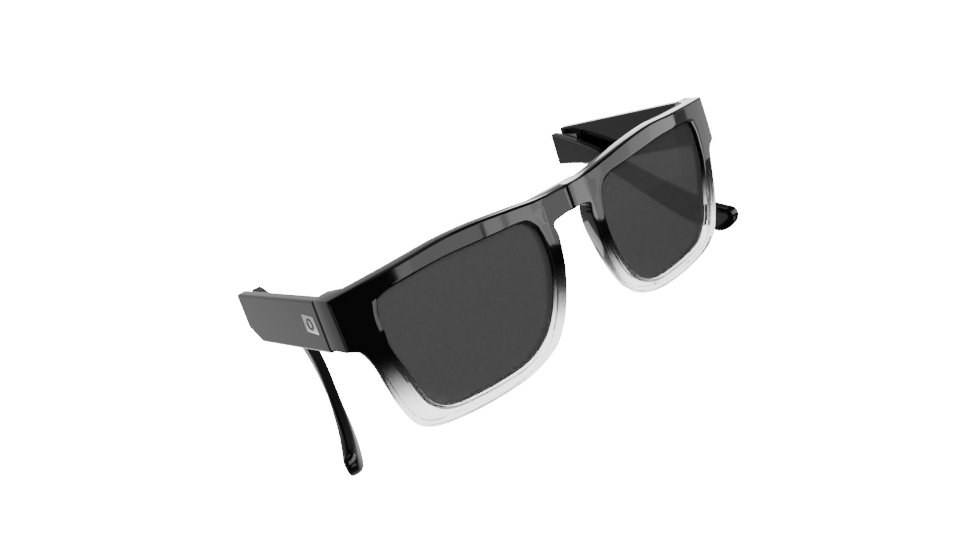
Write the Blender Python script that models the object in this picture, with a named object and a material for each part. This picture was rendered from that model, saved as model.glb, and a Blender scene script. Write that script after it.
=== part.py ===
"""Folding sunglasses: two half-fronts hinged behind the bridge, with temples that close and fold.

Lengths are millimetres in this file and become metres when a mesh is stored. The design frame has x
to the wearer's left, y backwards along the temples and z up, with z = 0 at the middle of the lenses.
Every piece is drawn once, for the left side, and mirrored for the right.
"""
import math

import bmesh
import bpy
from mathutils import Vector

MM = 0.001                      # metres in a millimetre
GAP = 0.3                       # space left between pieces that meet

# The object rests on the ends of the temples, so the design frame is lifted and centred by this much.
CENTRE_SHIFT = (1.652, -32.848, 28.369)

# Shape of the front surface: a gentle cylinder, toed in at the middle, with a crowned ridge there.
WRAP_RADIUS = 177.0
TOE_SLOPE = 0.071
HEIGHT_CURVE = 0.00334
BRIDGE_RIDGE = 2.2
BRIDGE_HALF_WIDTH = 8.4

# Rim section.
RIM_DEPTH = 4.0
EDGE_ROUND = 0.6
GROOVE_CENTRE = 2.3
GROOVE_WIDTH = 2.2
GROOVE_DEPTH = 0.85
LENS_THICKNESS = 1.6
LENS_REACH = 0.55

# Endpiece, which turns back to meet the temple.
RETURN_END_Y = 16.55
RETURN_INNER_X = 66.6

# Bridge hinge: one link plate carries a pin for each half.
BRIDGE_PIN = (8.3, 5.6)
BRIDGE_KNUCKLE_R = 1.5
BRIDGE_PIN_R = 0.7
LINK_Z = (9.8, 15.0)
BRIDGE_KNUCKLE_Z = (11.0, 13.8)
BRIDGE_LEAF_TOP = 14.1
BRIDGE_SCREW_Z = 12.5

# Temple hinge.
TEMPLE_PIN = (66.6, 17.0)
TEMPLE_ANGLE = 5.3              # degrees that an open temple leans inwards
TEMPLE_KNUCKLE_R = 1.3
TEMPLE_PIN_R = 0.6
TEMPLE_HINGE_Z = (5.0, 7.3, 7.6, 10.4, 10.7, 13.0)

# Front section of a temple.
TEMPLE_OUTER = 3.87             # outer face, measured outwards from the hinge axis
TEMPLE_THICKNESS = 3.1
TEMPLE_TOP = 15.55
TEMPLE_HEIGHT = 14.1
TEMPLE_SLOPE = 5.0              # degrees
TEMPLE_END = 49.35
TEMPLE_CHAMFER = (6.5, 4.1)

# Fold hinge, half way along a temple.
FOLD_PIN = (0.07, 49.5)
FOLD_KNUCKLE_R = 1.15
FOLD_PIN_R = 0.5
FOLD_HINGE_Z = (2.6, 4.6, 4.9, 7.1, 7.4, 9.4)
FOLD_AT_REST = {"left": 176.5, "right": 180.0}

# Rear section of a temple: middle line (along, height) and width of the blade.
TIP_LINE = [
    (0.15, 5.2, 10.6),
    (9.0, 3.8, 7.8),
    (18.0, 1.5, 4.9),
    (27.0, -4.6, 5.3),
    (36.0, -12.3, 6.2),
    (45.0, -20.0, 7.4),
    (52.0, -24.6, 8.0),
]
TIP_THICKNESS = 2.9
TIP_SWELL = 1.2                 # added to the thickness towards the end
TIP_BEND_START = 14.0
TIP_BEND = 0.0082
TIP_END_ROUND = 3.2

# Rim stations around the lens: lens opening (x, z), outer edge (x, z), depth, splay of the rear edge.
RIM_STATIONS = [
    (11.8, 8.0, 6.6, 8.3, 4.6, 0.0),
    (12.9, 10.0, 2.6, 9.4, 3.6, 0.0),
    (14.3, 11.5, 0.15, 9.5, 3.5, 0.0),
    (16.0, 12.3, 0.15, 16.4, 3.5, 0.0),
    (18.5, 12.9, 8.0, 16.0, 3.6, 0.0),
    (22.5, 13.1, 18.0, 17.2, 3.7, 0.0),
    (32.1, 13.6, 30.0, 18.4, 3.7, 0.0),
    (40.5, 13.9, 40.0, 18.6, 3.7, 0.0),
    (50.0, 13.4, 50.0, 17.7, 4.2, 0.0),
    (56.6, 12.7, 60.5, 16.8, 4.2, 0.0),
    (59.6, 11.6, 70.5, 15.9, 4.2, 0.0),
    (60.7, 8.0, 70.5, 9.0, 4.2, 0.0),
    (60.7, 3.8, 70.5, 2.6, 4.2, 0.0),
    (60.7, 0.0, 67.3, 1.0, 4.2, 0.5),
    (59.7, -4.2, 65.8, -2.6, 4.0, 1.2),
    (58.2, -9.0, 64.6, -9.0, 3.8, 1.6),
    (56.8, -14.2, 62.9, -15.8, 3.8, 1.6),
    (54.9, -18.4, 60.3, -21.8, 3.8, 1.4),
    (51.4, -21.5, 56.2, -25.1, 3.8, 0.6),
    (46.2, -22.8, 48.5, -26.6, 3.8, 0.2),
    (36.0, -23.2, 36.5, -27.0, 3.8, 0.0),
    (26.0, -22.5, 25.2, -26.0, 4.2, 0.3),
    (19.5, -19.6, 16.4, -22.6, 4.9, 1.0),
    (15.7, -15.5, 12.1, -17.4, 5.4, 1.4),
    (13.2, -10.0, 9.1, -10.9, 5.5, 1.4),
    (11.6, -4.5, 7.4, -4.6, 5.5, 0.9),
    (11.0, 0.0, 6.7, 0.8, 5.5, 0.2),
    (11.1, 4.0, 6.4, 5.2, 5.2, 0.0),
]
SHARP_STATIONS = (2, 3, 10, 12)
MID_FACE = 0.58                 # where a section's faces have their middle point, from the outer edge
STEPS_PER_STATION = 3

MATERIALS = {
    "frame_black": dict(color=(0.012, 0.012, 0.013, 1.0), roughness=0.12, metallic=0.0),
    "lens_grey": dict(color=(0.05, 0.05, 0.052, 0.85), roughness=0.05, metallic=0.0),
    "hinge_steel": dict(color=(0.42, 0.42, 0.43, 1.0), roughness=0.28, metallic=1.0),
    "plaque_steel": dict(color=(0.30, 0.30, 0.31, 1.0), roughness=0.35, metallic=1.0),
}


def clear_scene():
    for item in list(bpy.data.objects):
        bpy.data.objects.remove(item, do_unlink=True)


def make_materials():
    made = {}
    for name, look in MATERIALS.items():
        material = bpy.data.materials.new(name)
        material.use_nodes = True
        shader = material.node_tree.nodes["Principled BSDF"]
        shader.inputs["Base Color"].default_value = look["color"]
        shader.inputs["Roughness"].default_value = look["roughness"]
        shader.inputs["Metallic"].default_value = look["metallic"]
        shader.inputs["Alpha"].default_value = look["color"][3]
        material.diffuse_color = look["color"]
        made[name] = material
    return made


def make_empty(name, parent, place, turn=0.0):
    """An empty at a joint axis; place is in millimetres and turn is in degrees about z."""
    empty = bpy.data.objects.new(name, None)
    bpy.context.collection.objects.link(empty)
    empty.parent = parent
    empty.location = Vector(place) * MM
    empty.rotation_euler = (0.0, 0.0, math.radians(turn))
    return empty


def store(name, bm, parent, side, material=None):
    """Turn a mesh drawn in millimetres for the left side into an object on the given side."""
    for vert in bm.verts:
        vert.co.x *= side
    bmesh.ops.recalc_face_normals(bm, faces=bm.faces)
    if bm.calc_volume(signed=True) < 0.0:
        bmesh.ops.reverse_faces(bm, faces=bm.faces)
    bmesh.ops.scale(bm, verts=bm.verts, vec=(MM, MM, MM))
    mesh = bpy.data.meshes.new(name)
    bm.to_mesh(mesh)
    bm.free()
    thing = bpy.data.objects.new(name, mesh)
    bpy.context.collection.objects.link(thing)
    thing.parent = parent
    if material:
        mesh.materials.append(material)
        mesh.shade_smooth()
        mesh.set_sharp_from_angle(angle=math.radians(35.0))
    return thing


def cut(target, bm, side):
    """Cut target with the closed shapes in bm, which are drawn in target's own frame."""
    cutter = store(target.name + "_cutter", bm, target.parent, side)
    cutter.hide_render = True
    cutter.display_type = "WIRE"
    modifier = target.modifiers.new("cut", "BOOLEAN")
    modifier.operation = "DIFFERENCE"
    modifier.solver = "EXACT"
    modifier.use_self = True
    modifier.object = cutter


def add_prism(bm, outline, place, low, high):
    """Add a closed prism; place(u, v, w) gives the point for outline (u, v) at level w."""
    lower = [bm.verts.new(place(u, v, low)) for u, v in outline]
    upper = [bm.verts.new(place(u, v, high)) for u, v in outline]
    bm.faces.new(lower)
    bm.faces.new(upper)
    for i in range(len(outline)):
        j = (i + 1) % len(outline)
        bm.faces.new((lower[i], lower[j], upper[j], upper[i]))


def add_box(bm, low, high):
    outline = [(low[0], low[1]), (high[0], low[1]), (high[0], high[1]), (low[0], high[1])]
    add_prism(bm, outline, lambda u, v, w: (u, v, w), low[2], high[2])


def circle(radius, count, centre=(0.0, 0.0)):
    turns = [2.0 * math.pi * i / count for i in range(count)]
    return [(centre[0] + radius * math.cos(a), centre[1] + radius * math.sin(a)) for a in turns]


def add_round(bm, centre, radius, low, high, axis="z", count=20):
    """Add a cylinder around centre (the two coordinates that are not along axis)."""
    places = {
        "x": lambda u, v, w: (w, u, v),
        "y": lambda u, v, w: (u, w, v),
        "z": lambda u, v, w: (u, v, w),
    }
    add_prism(bm, circle(radius, count, centre), places[axis], low, high)


def spline(points, closed, steps, sharp=()):
    """Catmull-Rom points through rows of numbers; the curve has a corner at each sharp row."""
    count = len(points)
    result = []
    for i in range(count if closed else count - 1):
        j = (i + 1) % count
        before = points[i] if i in sharp or (i == 0 and not closed) else points[i - 1]
        after = points[j] if j in sharp or (j == count - 1 and not closed) else points[(j + 1) % count]
        for step in range(steps):
            t = step / steps
            row = []
            for p0, p1, p2, p3 in zip(before, points[i], points[j], after):
                bend = (2 * p0 - 5 * p1 + 4 * p2 - p3) * t * t + (3 * p1 - p0 - 3 * p2 + p3) * t ** 3
                row.append(0.5 * (2 * p1 + (p2 - p0) * t + bend))
            result.append(tuple(row))
    if not closed:
        result.append(tuple(points[-1]))
    return result


def smoothstep(low, high, value):
    t = min(max((value - low) / (high - low), 0.0), 1.0)
    return t * t * (3.0 - 2.0 * t)


def front_y(x, z):
    """Front surface of the left half."""
    ridge = BRIDGE_RIDGE * max(0.0, 1.0 - x / BRIDGE_HALF_WIDTH)
    return x * x / (2.0 * WRAP_RADIUS) - TOE_SLOPE * x + HEIGHT_CURVE * z * z - ridge


def rim_stations():
    """Rim stations, each with the unit normal that points out of the lens opening."""
    rows = spline(RIM_STATIONS, True, STEPS_PER_STATION, SHARP_STATIONS)
    stations = []
    for i, row in enumerate(rows):
        ahead = rows[(i + 1) % len(rows)]
        behind = rows[i - 1]
        along = Vector((ahead[0] - behind[0], ahead[1] - behind[1])).normalized()
        stations.append((row, Vector((-along.y, along.x))))
    return stations


def rim_section(station):
    """Points (x, y, z) of the rim's closed section, from the lens opening outwards and back."""
    (inner_x, inner_z, outer_x, outer_z, depth, splay), from_opening = station
    inner = Vector((inner_x, inner_z))
    outer = Vector((outer_x, outer_z))
    inward = (inner - outer).normalized()
    at_return = smoothstep(64.0, 66.8, outer_x) * smoothstep(0.6, 2.6, outer_z)

    def point(flat, behind):
        return (flat.x, front_y(flat.x, flat.y) + behind, flat.y)

    def shifted(flat, x_target):
        """Keep a point's height but move it to the inner side of the endpiece."""
        return Vector((flat.x + at_return * (min(flat.x, x_target) - flat.x), flat.y))

    lip_y = front_y(outer_x, outer_z) + depth
    lip_y += at_return * (RETURN_END_Y - lip_y)
    splay *= 1.0 - at_return
    lip_outer = outer + inward * splay
    lip_corner = outer + inward * (splay + EDGE_ROUND)
    lip_inner = shifted(outer + inward * (splay * 0.6 + 1.5), RETURN_INNER_X)
    foot = shifted(outer + inward * (splay * 0.4 + 1.9), RETURN_INNER_X - 0.3)
    base = min(depth, RIM_DEPTH)
    low_groove = GROOVE_CENTRE - GROOVE_WIDTH / 2
    high_groove = GROOVE_CENTRE + GROOVE_WIDTH / 2
    groove_floor = inner + from_opening * GROOVE_DEPTH
    middle = outer.lerp(inner, MID_FACE)
    return [
        point(inner, 0.4),
        point(inner + from_opening * 0.4, 0.0),
        point(middle, 0.0),
        point(outer + inward * EDGE_ROUND, 0.0),
        point(outer, EDGE_ROUND),
        (lip_outer.x, lip_y - EDGE_ROUND, lip_outer.y),
        (lip_corner.x, lip_y, lip_corner.y),
        (lip_inner.x, lip_y, lip_inner.y),
        point(foot, base + 0.02),
        point(inner + from_opening * (GROOVE_DEPTH + 0.1), RIM_DEPTH),
        point(inner, RIM_DEPTH - 0.15),
        point(inner, high_groove),
        point(groove_floor, high_groove),
        point(groove_floor, low_groove),
        point(inner, low_groove),
    ]


def rim_mesh():
    bm = bmesh.new()
    rings = [[bm.verts.new(p) for p in rim_section(station)] for station in rim_stations()]
    for i, ring in enumerate(rings):
        following = rings[(i + 1) % len(rings)]
        for j in range(len(ring)):
            k = (j + 1) % len(ring)
            bm.faces.new((ring[j], ring[k], following[k], following[j]))
    return bm


def lens_mesh():
    """A curved plate that follows the front surface, with its edge in the rim's groove."""
    bm = bmesh.new()
    edge = [Vector(row[:2]) + from_opening * LENS_REACH for row, from_opening in rim_stations()]
    middle = sum(edge, Vector((0.0, 0.0))) / len(edge)
    faces = []
    for level in (-LENS_THICKNESS / 2, LENS_THICKNESS / 2):
        rings = []
        for share in (1.0, 0.8, 0.5, 0.25):
            flats = [middle + (p - middle) * share for p in edge]
            behind = GROOVE_CENTRE + level
            rings.append([bm.verts.new((p.x, front_y(p.x, p.y) + behind, p.y)) for p in flats])
        centre = bm.verts.new((middle.x, front_y(middle.x, middle.y) + GROOVE_CENTRE + level, middle.y))
        for i in range(len(edge)):
            j = (i + 1) % len(edge)
            for a, b in zip(rings, rings[1:]):
                bm.faces.new((a[i], a[j], b[j], b[i]))
            bm.faces.new((rings[-1][i], rings[-1][j], centre))
        faces.append(rings[0])
    for i in range(len(edge)):
        j = (i + 1) % len(edge)
        bm.faces.new((faces[0][i], faces[0][j], faces[1][j], faces[1][i]))
    return bm


def leaf_outline(radius, near, far, end, flip=1.0):
    """Plan of a hinge leaf: an eye around the axis and a plate from near to far beside it.

    The plate runs along +u to end; flip = -1 runs it along -u.
    """
    start = math.atan2(near, math.sqrt(radius ** 2 - near ** 2))
    stop = math.atan2(far, math.sqrt(radius ** 2 - far ** 2))
    count = 20
    sweep = 2.0 * math.pi - (stop - start)
    turns = [start - sweep * i / count for i in range(count + 1)]
    eye = [(flip * radius * math.cos(a), radius * math.sin(a)) for a in turns]
    return eye + [(flip * end, far), (flip * end, near)]


def make_leaf(name, outline, place, levels, cuts, holes, parent, side, material):
    """A hinge leaf: the outline between two levels, less the other leaf's knuckles and the holes."""
    bm = bmesh.new()
    add_prism(bm, outline, place, levels[0], levels[1])
    leaf = store(name, bm, parent, side, material)
    bm = bmesh.new()
    for low, high in cuts:
        add_box(bm, low, high)
    for centre, radius, low, high, axis in holes:
        add_round(bm, centre, radius, low, high, axis)
    cut(leaf, bm, side)
    return leaf


def make_screw(name, seat, direction, sizes, parent, side, material):
    """A pan-head screw; seat is the middle of the head's underside, direction points into the work."""
    head_r, head_h, shank_r, length = sizes
    along = Vector(direction)
    across = Vector((0.0, 0.0, 1.0)) if abs(along.z) < 0.5 else Vector((1.0, 0.0, 0.0))
    other = along.cross(across)
    profile = [(-head_h, head_r * 0.7), (-head_h * 0.6, head_r), (0.0, head_r), (0.0, shank_r)]
    profile.append((length, shank_r))
    bm = bmesh.new()
    rings = []
    count = 14
    for reach, radius in profile:
        ring = []
        for u, v in circle(radius, count):
            ring.append(bm.verts.new(Vector(seat) + along * reach + across * u + other * v))
        rings.append(ring)
    bm.faces.new(rings[0])
    bm.faces.new(rings[-1])
    for a, b in zip(rings, rings[1:]):
        for i in range(count):
            j = (i + 1) % count
            bm.faces.new((a[i], a[j], b[j], b[i]))
    return store(name, bm, parent, side, material)


def make_pin(name, centre, radius, low, high, parent, side, material):
    bm = bmesh.new()
    add_round(bm, centre, radius, low, high, "z", 20)
    return store(name, bm, parent, side, material)


SCREW = (0.85, 0.35, 0.45, 2.0)
SMALL_SCREW = (0.8, 0.2, 0.4, 1.6)
SCREW_CLEARANCE = 0.1


def make_bridge_link(root, materials):
    """The plate behind the bridge, forked at both ends around the leaves' knuckles."""
    pin_x, pin_y = BRIDGE_PIN
    radius = BRIDGE_KNUCKLE_R
    outline = []
    for end in (1.0, -1.0):
        for i in range(13):
            turn = math.radians(-90.0 + 180.0 * i / 12) + (0.0 if end > 0 else math.pi)
            outline.append((end * pin_x + radius * math.cos(turn), pin_y + radius * math.sin(turn)))
    bm = bmesh.new()
    add_prism(bm, outline, lambda u, v, w: (u, v, w), *LINK_Z)
    link = store("bridge_link", bm, root, 1.0, materials["hinge_steel"])
    bm = bmesh.new()
    slot = (BRIDGE_KNUCKLE_Z[0] - GAP, BRIDGE_KNUCKLE_Z[1] + GAP)
    for end in (1.0, -1.0):
        near = end * (pin_x - radius - GAP)
        far = end * (pin_x + radius + 1.0)
        add_box(bm, (min(near, far), pin_y - 3.0, slot[0]), (max(near, far), pin_y + 3.0, slot[1]))
        hole = (end * pin_x, pin_y)
        add_round(bm, hole, BRIDGE_PIN_R + 0.05, LINK_Z[0] - 1.0, LINK_Z[1] + 1.0)
    cut(link, bm, 1.0)
    for word, end in (("left", 1.0), ("right", -1.0)):
        make_pin("bridge_pin_" + word, (end * pin_x, pin_y), BRIDGE_PIN_R, LINK_Z[0], LINK_Z[1], root, 1.0,
                 materials["hinge_steel"])


def make_front(word, side, bridge, materials):
    """Rim, lens and the leaves that the rim carries; drawn about the bridge pin."""
    steel = materials["hinge_steel"]
    offset = Vector((BRIDGE_PIN[0], BRIDGE_PIN[1], 0.0))

    bm = rim_mesh()
    bmesh.ops.translate(bm, verts=bm.verts, vec=-offset)
    rim = store("rim_" + word, bm, bridge, side, materials["frame_black"])
    bm = lens_mesh()
    bmesh.ops.translate(bm, verts=bm.verts, vec=-offset)
    store("lens_" + word, bm, bridge, side, materials["lens_grey"])

    # Bridge leaf, with its eye on the bridge pin and two screws into the rim.
    plate = (-1.35, -0.4)
    screw_xs = (2.6, 4.7)
    low, high = BRIDGE_KNUCKLE_Z
    clear = BRIDGE_KNUCKLE_R + GAP
    outline = leaf_outline(BRIDGE_KNUCKLE_R, plate[0], plate[1], 6.0)
    cuts = [((-3.0, -3.0, high), (clear, 3.0, BRIDGE_LEAF_TOP + 1.0))]
    holes = [((0.0, 0.0), BRIDGE_PIN_R + 0.05, low - 1.0, BRIDGE_LEAF_TOP + 1.0, "z")]
    holes += [((x, BRIDGE_SCREW_Z), SCREW[2] + SCREW_CLEARANCE, -3.0, 3.0, "y") for x in screw_xs]
    make_leaf("bridge_leaf_" + word, outline, lambda u, v, w: (u, v, w), (low, BRIDGE_LEAF_TOP),
              cuts, holes, bridge, side, steel)
    for label, x in zip(("inner", "outer"), screw_xs):
        seat = (x, plate[1] + 0.02, BRIDGE_SCREW_Z)
        make_screw("bridge_screw_%s_%s" % (label, word), seat, (0.0, -1.0, 0.0), SCREW, bridge, side, steel)

    # Temple leaf on the inner side of the endpiece.
    hinge = Vector((TEMPLE_PIN[0] - BRIDGE_PIN[0], TEMPLE_PIN[1] - BRIDGE_PIN[1], 0.0))
    plate = (-1.2, -0.35)
    z = TEMPLE_HINGE_Z
    clear = TEMPLE_KNUCKLE_R + GAP
    outline = leaf_outline(TEMPLE_KNUCKLE_R, plate[0], plate[1], 4.2, -1.0)
    box_low = (hinge.x - 3.0, hinge.y - clear, z[1])
    box_high = (hinge.x + 3.0, hinge.y + 3.0, z[4])
    screw_y = hinge.y - 3.0
    screw_zs = (z[0] + 2.0, z[5] - 2.0)
    holes = [((hinge.x, hinge.y), TEMPLE_PIN_R + 0.05, z[0] - 1.0, z[5] + 1.0, "z")]
    for sz in screw_zs:
        holes.append(((screw_y, sz), SCREW[2] + SCREW_CLEARANCE, hinge.x - 3.0, hinge.x + 3.0, "x"))
    make_leaf("front_leaf_" + word, outline, lambda u, v, w: (hinge.x + v, hinge.y + u, w), (z[0], z[5]),
              [(box_low, box_high)], holes, bridge, side, steel)
    for label, sz in zip(("lower", "upper"), screw_zs):
        make_screw("front_screw_%s_%s" % (label, word), (hinge.x + plate[0] - 0.02, screw_y, sz),
                   (1.0, 0.0, 0.0), SCREW, bridge, side, steel)

    # Screw holes in the rim, and room for the knuckles at the end of the endpiece.
    bm = bmesh.new()
    for x in screw_xs:
        add_round(bm, (x, BRIDGE_SCREW_Z), SCREW[2] + SCREW_CLEARANCE, -0.4 - SCREW[3] - GAP, 3.0, "y", 14)
    for sz in screw_zs:
        inner = hinge.x + plate[0]
        add_round(bm, (screw_y, sz), SCREW[2] + SCREW_CLEARANCE, inner - 1.0, inner + SCREW[3] + GAP, "x", 14)
    add_round(bm, (hinge.x, hinge.y), clear + 0.05, z[0] - GAP, z[5] + GAP, "z", 28)
    cut(rim, bm, side)


def temple_edge(along):
    """Height of the temple's top edge."""
    return TEMPLE_TOP - math.tan(math.radians(TEMPLE_SLOPE)) * along


def make_temple(word, side, hinge, materials):
    """Front section of the temple, with its plaque and the leaves that it carries."""
    steel = materials["hinge_steel"]
    lean = math.radians(TEMPLE_ANGLE)
    inner = TEMPLE_OUTER - TEMPLE_THICKNESS

    def front_end(out):
        """The front end is square to the face of the endpiece, not to the temple."""
        return (RETURN_END_Y + GAP - TEMPLE_PIN[1] - out * math.sin(lean)) / math.cos(lean)

    chamfer_run, chamfer_rise = TEMPLE_CHAMFER
    end_top = temple_edge(TEMPLE_END)
    side_outline = [
        (None, temple_edge(0.0)),
        (TEMPLE_END, end_top),
        (TEMPLE_END, end_top - TEMPLE_HEIGHT + chamfer_rise),
        (TEMPLE_END - chamfer_run, temple_edge(TEMPLE_END - chamfer_run) - TEMPLE_HEIGHT),
        (None, temple_edge(0.0) - TEMPLE_HEIGHT),
    ]

    def place(along, height, out):
        return (out, front_end(out) if along is None else along, height)

    bm = bmesh.new()
    add_prism(bm, side_outline, place, inner, TEMPLE_OUTER)
    bmesh.ops.bevel(bm, geom=bm.edges[:], offset=0.45, segments=2, profile=0.5, affect="EDGES")
    temple = store("temple_" + word, bm, hinge, side, materials["frame_black"])

    # Plaque, let into the outer face.
    plaque_b = (2.1, 8.9)
    plaque_c = (temple_edge(5.0) - 9.1, temple_edge(5.0) - 4.0)
    depth = 0.8
    bm = bmesh.new()
    face = TEMPLE_OUTER + 0.1
    add_box(bm, (face - depth, plaque_b[0] + 0.12, plaque_c[0] + 0.12),
            (face, plaque_b[1] - 0.12, plaque_c[1] - 0.12))
    bmesh.ops.bevel(bm, geom=bm.edges[:], offset=0.1, segments=1, profile=0.5, affect="EDGES")
    store("plaque_" + word, bm, hinge, side, materials["plaque_steel"])

    # Rear leaf of the temple hinge, on the inner face.
    z = TEMPLE_HINGE_Z
    plate = (inner - GAP - 0.8, inner - GAP)
    clear = TEMPLE_KNUCKLE_R + GAP
    outline = leaf_outline(TEMPLE_KNUCKLE_R, plate[0], plate[1], 9.0)
    screw_bs = (4.0, 7.2)
    screw_z = 0.5 * (z[2] + z[3])
    holes = [((0.0, 0.0), TEMPLE_PIN_R + 0.05, z[0] - 1.0, z[5] + 1.0, "z")]
    holes += [((b, screw_z), SCREW[2] + SCREW_CLEARANCE, -3.0, 3.0, "x") for b in screw_bs]
    cuts = [
        ((-3.0, -3.0, z[0] - 1.0), (3.0, clear, z[2])),
        ((-3.0, -3.0, z[3]), (3.0, clear, z[5] + 1.0)),
    ]
    make_leaf("rear_leaf_" + word, outline, lambda u, v, w: (v, u, w), (z[1], z[4]), cuts, holes,
              hinge, side, steel)
    make_pin("temple_pin_" + word, (0.0, 0.0), TEMPLE_PIN_R, z[0] - 0.4, z[5] + 0.4, hinge, side, steel)
    for label, b in zip(("front", "back"), screw_bs):
        make_screw("rear_screw_%s_%s" % (label, word), (plate[0] - 0.02, b, screw_z), (1.0, 0.0, 0.0),
                   SCREW, hinge, side, steel)

    # Front leaf of the fold hinge, let into the inner face.
    fold_a, fold_b = FOLD_PIN
    make_fold_leaf("fold_leaf_front_" + word, -1.0, (fold_a, fold_b), hinge, side, steel)

    bm = bmesh.new()
    add_box(bm, (face - depth - GAP, plaque_b[0], plaque_c[0]), (face + 2.0, plaque_b[1], plaque_c[1]))
    add_round(bm, (0.0, 0.0), clear + 0.05, z[0] - GAP, z[5] + GAP, "z", 28)
    for b in screw_bs:
        add_round(bm, (b, screw_z), SCREW[2] + SCREW_CLEARANCE, 0.0, plate[0] + SCREW[3] + GAP, "x", 14)
    add_fold_room(bm, -1.0, (fold_a, fold_b))
    cut(temple, bm, side)
    make_pin("fold_pin_" + word, FOLD_PIN, FOLD_PIN_R, FOLD_HINGE_Z[0], FOLD_HINGE_Z[5], hinge, side, steel)
    make_fold_screws("fold_screw_front_%s_" + word, -1.0, (fold_a, fold_b), hinge, side, steel)


FOLD_PLATE = (0.35, 1.05)
FOLD_PLATE_LENGTH = 9.0
FOLD_SCREWS = (3.6, 7.0)


def make_fold_leaf(name, direction, axis, parent, side, material):
    """A leaf of the fold hinge; direction -1 is the front leaf and +1 the rear one."""
    z = FOLD_HINGE_Z
    clear = FOLD_KNUCKLE_R + GAP
    outline = leaf_outline(FOLD_KNUCKLE_R, FOLD_PLATE[0], FOLD_PLATE[1], FOLD_PLATE_LENGTH)
    a, b = axis

    def slab(low, high):
        ends = sorted((b - direction * 3.0, b + direction * clear))
        return ((a - 3.0, ends[0], low), (a + 3.0, ends[1], high))

    own_is_middle = direction > 0
    if own_is_middle:
        cuts = [slab(z[0] - 1.0, z[2]), slab(z[3], z[5] + 1.0)]
    else:
        cuts = [slab(z[1], z[4])]
    holes = [((a, b), FOLD_PIN_R + 0.05, z[0] - 1.0, z[5] + 1.0, "z")]
    screw_z = 0.5 * (z[0] + z[5])
    for reach in FOLD_SCREWS:
        hole = (b + direction * reach, screw_z)
        holes.append((hole, SMALL_SCREW[2] + SCREW_CLEARANCE, a - 3.0, a + 3.0, "x"))
    make_leaf(name, outline, lambda u, v, w: (a + v, b + direction * u, w), (z[0], z[5]), cuts, holes,
              parent, side, material)


def make_fold_screws(pattern, direction, axis, parent, side, material):
    screw_z = 0.5 * (FOLD_HINGE_Z[0] + FOLD_HINGE_Z[5])
    for label, reach in zip(("near", "far"), FOLD_SCREWS):
        seat = (axis[0] + FOLD_PLATE[0] - 0.02, axis[1] + direction * reach, screw_z)
        make_screw(pattern % label, seat, (1.0, 0.0, 0.0), SMALL_SCREW, parent, side, material)


def add_fold_room(bm, direction, axis):
    """Room for a fold leaf, its screws and the knuckles."""
    a, b = axis
    z = FOLD_HINGE_Z
    ends = sorted((b, b + direction * (FOLD_PLATE_LENGTH + GAP)))
    add_box(bm, (a - 3.0, ends[0], z[0] - GAP), (a + FOLD_PLATE[1] + GAP, ends[1], z[5] + GAP))
    add_round(bm, axis, FOLD_KNUCKLE_R + GAP, z[0] - GAP, z[5] + GAP, "z", 28)
    screw_z = 0.5 * (z[0] + z[5])
    depth = a + FOLD_PLATE[0] + SMALL_SCREW[3] + GAP
    for reach in FOLD_SCREWS:
        hole = (b + direction * reach, screw_z)
        add_round(bm, hole, SMALL_SCREW[2] + SCREW_CLEARANCE, a, depth, "x", 14)


def tip_stations():
    """Stations (along, height, width, thickness share) along the rear section to its round end."""
    line = spline(TIP_LINE, False, 3)
    stations = [(b, c, w, 1.0) for b, c, w in line]
    along = Vector(line[-1][:2]) - Vector(line[-2][:2])
    along.normalize()
    last = line[-1]
    for i in range(1, 5):
        turn = 0.5 * math.pi * i / 4.6
        reach = TIP_END_ROUND * math.sin(turn)
        shrink = math.cos(turn)
        stations.append((last[0] + along.x * reach, last[1] + along.y * reach, last[2] * shrink,
                         0.5 + 0.5 * shrink))
    return stations


def make_tip(word, side, fold, materials):
    """Rear section of the temple: a narrow blade that drops, widens and curves round the head."""
    steel = materials["hinge_steel"]
    stations = tip_stations()
    outer = TEMPLE_OUTER - FOLD_PIN[0]
    bm = bmesh.new()
    rings = []
    for i, (b, c, width, share) in enumerate(stations):
        ahead = stations[min(i + 1, len(stations) - 1)]
        behind = stations[max(i - 1, 0)]
        along = Vector((ahead[0] - behind[0], ahead[1] - behind[1])).normalized()
        if i == 0:
            along = Vector((1.0, 0.0))
        across = Vector((-along.y, along.x))
        half = width / 2
        swell = TIP_SWELL * smoothstep(36.0, 52.0, b)
        thick = (TIP_THICKNESS + swell) * share
        middle = outer - 0.15 - TIP_THICKNESS / 2 + swell / 2
        ring = []
        corner = min(0.7, half * 0.45)
        edge = min(0.7, thick * 0.3)
        shape = [
            (thick / 2, half - corner), (thick / 2 - edge, half), (edge - thick / 2, half),
            (-thick / 2, half - corner), (-thick / 2, corner - half), (edge - thick / 2, -half),
            (thick / 2 - edge, -half), (thick / 2, corner - half),
        ]
        for out, up in shape:
            flat = Vector((b, c)) + across * up
            bend = TIP_BEND * max(0.0, flat.x - TIP_BEND_START) ** 2
            ring.append(bm.verts.new((middle + out - bend, flat.x, flat.y)))
        rings.append(ring)
    bm.faces.new(rings[0])
    bm.faces.new(rings[-1])
    for a, b in zip(rings, rings[1:]):
        for i in range(len(a)):
            j = (i + 1) % len(a)
            bm.faces.new((a[i], a[j], b[j], b[i]))
    tip = store("temple_tip_" + word, bm, fold, side, materials["frame_black"])
    make_fold_leaf("fold_leaf_rear_" + word, 1.0, (0.0, 0.0), fold, side, steel)
    bm = bmesh.new()
    add_fold_room(bm, 1.0, (0.0, 0.0))
    cut(tip, bm, side)
    make_fold_screws("fold_screw_rear_%s_" + word, 1.0, (0.0, 0.0), fold, side, steel)


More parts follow.
